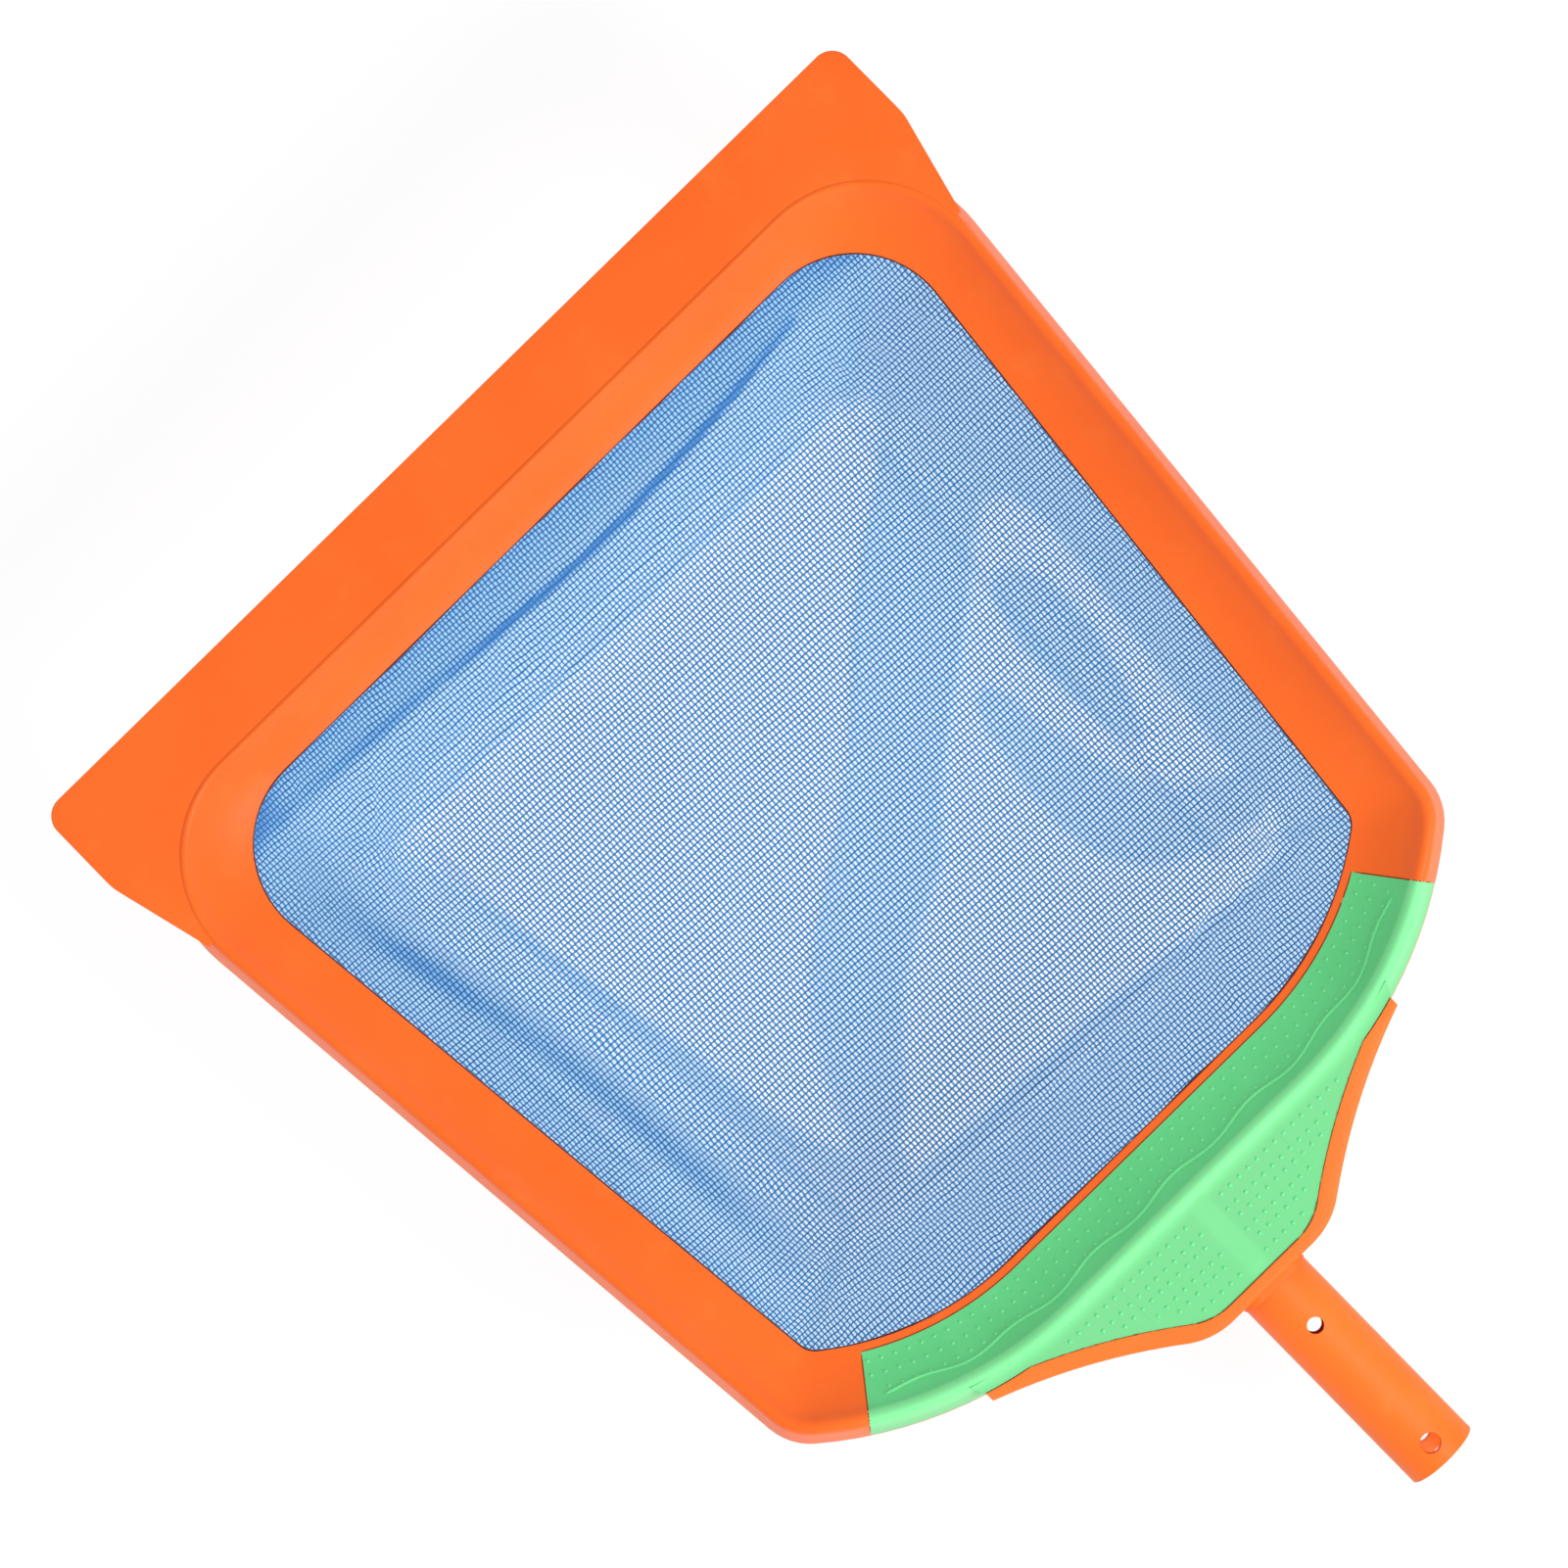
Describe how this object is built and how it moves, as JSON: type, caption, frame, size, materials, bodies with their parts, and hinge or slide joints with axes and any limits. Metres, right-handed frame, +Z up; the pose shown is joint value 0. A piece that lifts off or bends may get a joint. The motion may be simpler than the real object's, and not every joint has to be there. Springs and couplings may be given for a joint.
{
  "type": "leaf skimmer net",
  "caption": "Pool leaf skimmer: a moulded frame with a wide scoop lip, a soft rear cover, a yoke with a spigot for a telescopic pole, and a sewn mesh bag clamped beneath.",
  "frame": {"origin": "on the spigot's axis, at the yoke's rim, where the pole's end stops", "axes": "+Z up out of the open mouth, +Y from the pole towards the scoop lip, X = 0 the plane of symmetry. The spigot falls away from the frame at 10 degrees below -Y."},
  "size_m": [0.4, 0.5238, 0.1069],
  "materials": {
    "orange_shell": "satin orange polypropylene, fine moulded grain",
    "orange_yoke": "satin orange polypropylene",
    "green_soft": "matte soft green elastomer with small raised dots",
    "ring_plastic": "matte orange plastic",
    "screw_steel": "passivated stainless steel",
    "net_mesh": "fine open knitted mesh of blue polyester",
    "hem_fabric": "woven polyester tape",
    "hem_cord": "extruded plastic bead",
    "binding_fabric": "woven polyester tape, stitched"
  },
  "bodies": {
    "root": {"frame_shell": "orange_shell", "grip_cover": "green_soft", "handle_yoke": "orange_yoke", "net_retainer_ring": "ring_plastic", "retainer_screws": "screw_steel", "yoke_screws": "screw_steel", "hem_tape": "hem_fabric", "hem_cord": "hem_cord", "net_main_panel": "net_mesh", "net_gusset_left": "net_mesh", "net_gusset_right": "net_mesh", "seam_binding_left": "binding_fabric", "seam_binding_right": "binding_fabric"}
  },
  "joints": []
}
